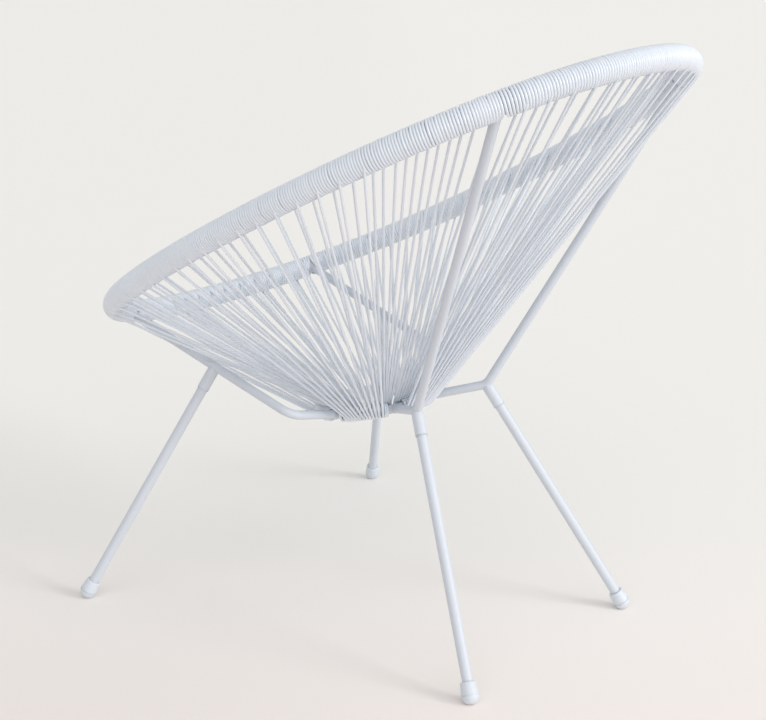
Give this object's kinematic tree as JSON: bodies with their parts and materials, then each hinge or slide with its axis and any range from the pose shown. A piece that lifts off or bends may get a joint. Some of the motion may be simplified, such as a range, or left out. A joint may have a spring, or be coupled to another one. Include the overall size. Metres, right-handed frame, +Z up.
{
  "type": "wound cord lounge chair",
  "caption": "Low lounge chair with an egg-shaped rim, a cone seat of wound plastic cord and splayed tube legs.",
  "frame": {"origin": "on the floor, in the middle of the chair's plan", "axes": "+Z up, -Y is the way the sitter faces, +X is the sitter's left"},
  "size_m": [0.728, 0.8224, 0.8334],
  "materials": {
    "frame_paint": "satin white paint",
    "cord": "smooth white cord",
    "foot_plastic": "moulded white",
    "zinc": "zinc plated"
  },
  "bodies": {
    "root": {"rim_tube": "frame_paint", "seat_ring": "frame_paint", "spoke_front_left": "frame_paint", "leg_socket_front_left": "frame_paint", "leg_front_left": "frame_paint", "leg_stud_front_left": "zinc", "foot_cap_front_left": "foot_plastic", "spoke_back_left": "frame_paint", "leg_socket_back_left": "frame_paint", "leg_back_left": "frame_paint", "leg_stud_back_left": "zinc", "foot_cap_back_left": "foot_plastic", "spoke_front_right": "frame_paint", "leg_socket_front_right": "frame_paint", "leg_front_right": "frame_paint", "leg_stud_front_right": "zinc", "foot_cap_front_right": "foot_plastic", "spoke_back_right": "frame_paint", "leg_socket_back_right": "frame_paint", "leg_back_right": "frame_paint", "leg_stud_back_right": "zinc", "foot_cap_back_right": "foot_plastic", "cords_front_right": "cord", "cords_front_left": "cord", "cords_left_1": "cord", "cords_left_2": "cord", "cords_left_3": "cord", "cords_left_4": "cord", "cords_back_left": "cord", "cords_back_right": "cord", "cords_right_4": "cord", "cords_right_3": "cord", "cords_right_2": "cord", "cords_right_1": "cord", "ring_winding_front_right": "cord", "ring_winding_front_left": "cord", "ring_winding_left": "cord", "ring_winding_back": "cord", "ring_winding_right": "cord"}
  },
  "joints": []
}
